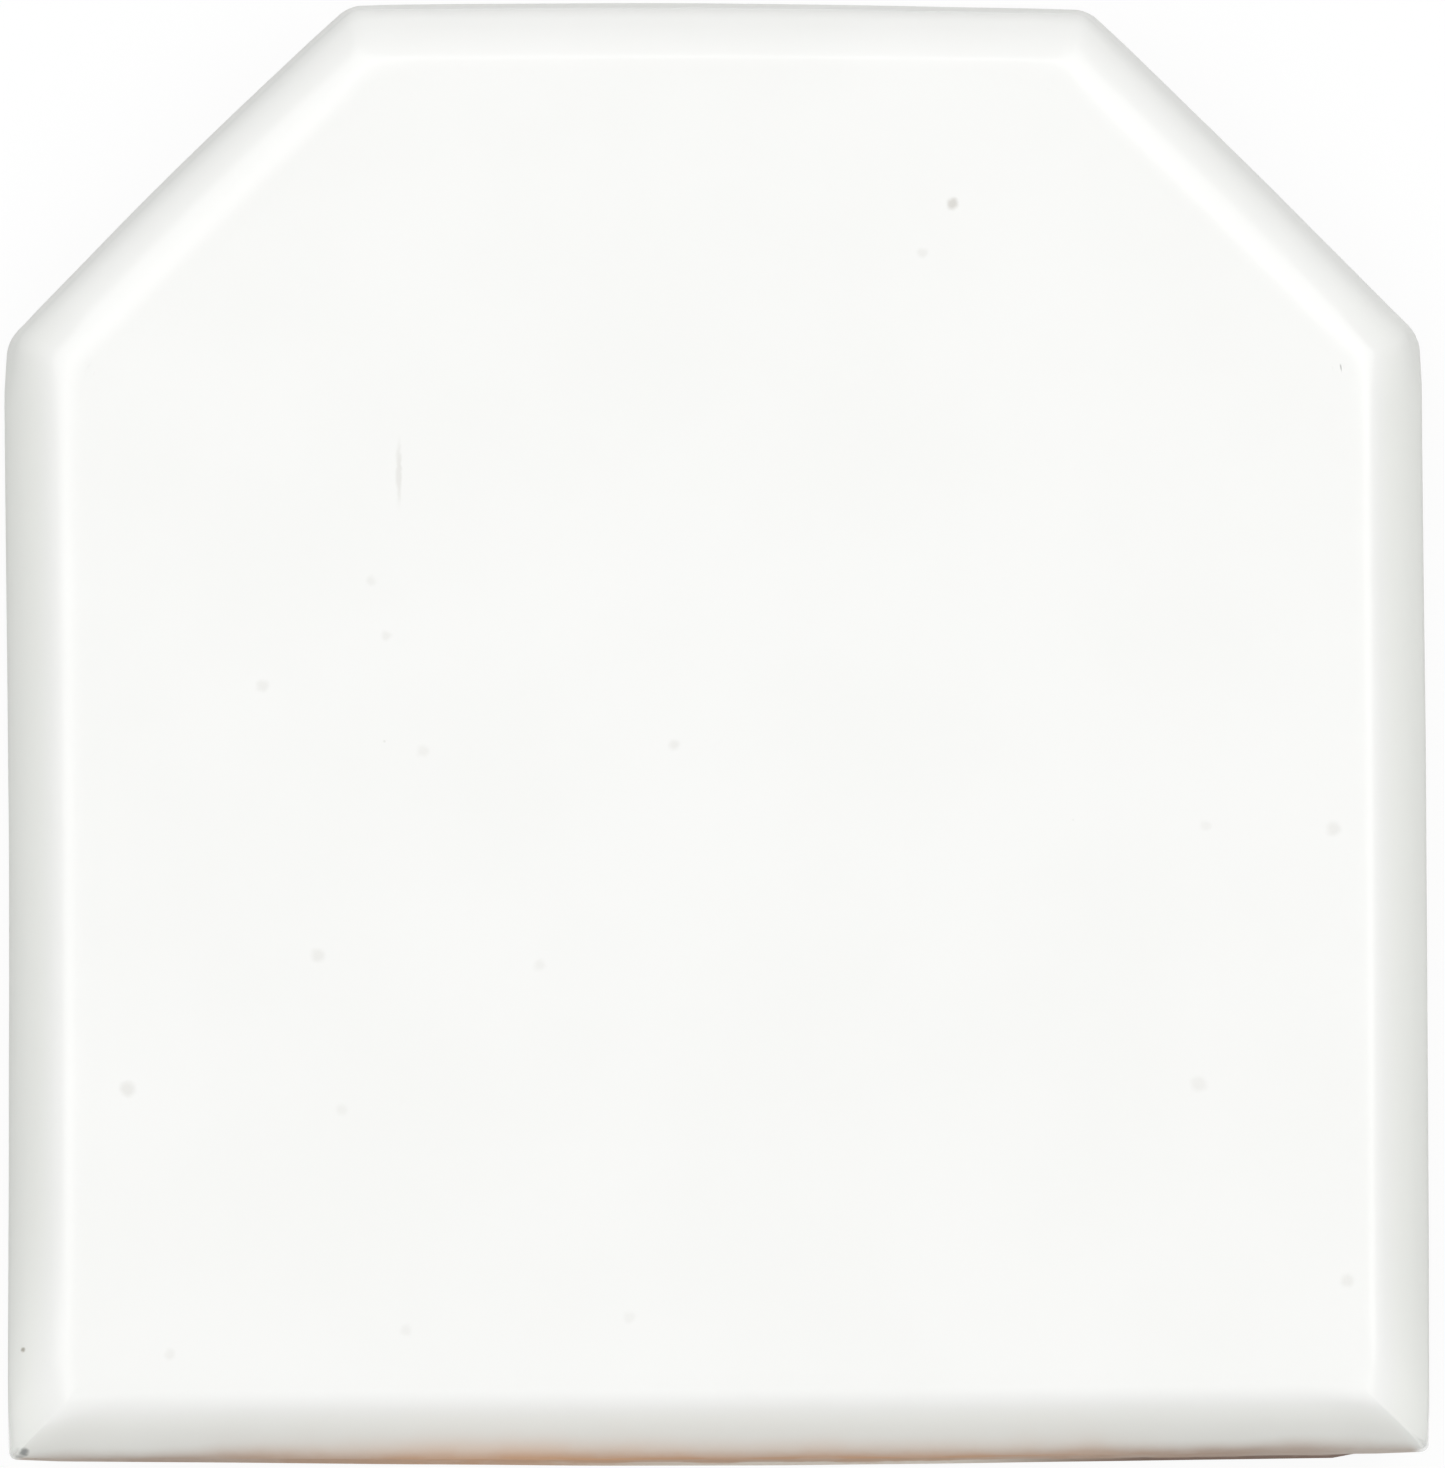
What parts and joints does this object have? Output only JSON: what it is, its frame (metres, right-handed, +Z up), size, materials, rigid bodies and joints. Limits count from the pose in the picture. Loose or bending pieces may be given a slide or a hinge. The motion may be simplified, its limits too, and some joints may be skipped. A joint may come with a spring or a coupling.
{
  "type": "raised pavement marker",
  "caption": "White glazed ceramic pavement marker with pillowed bevels and two clipped corners, studded underneath and bonded to the road by an adhesive pad.",
  "frame": {"origin": "centre of the footprint, on the underside of the adhesive pad where it lies on the road", "axes": "+Z up from the road, +Y to the end with the two clipped corners, X across the width"},
  "size_m": [0.1, 0.1028, 0.0199],
  "materials": {
    "fired_clay": "unglazed fired clay, matt and finely grained",
    "white_glaze": "opaque white glaze, glossy, with a few pinholes and specks",
    "adhesive": "black butyl adhesive, tacky satin"
  },
  "bodies": {
    "root": {"ceramic_base": "fired_clay", "white_glaze": "white_glaze", "adhesive_pad": "adhesive"}
  },
  "joints": []
}
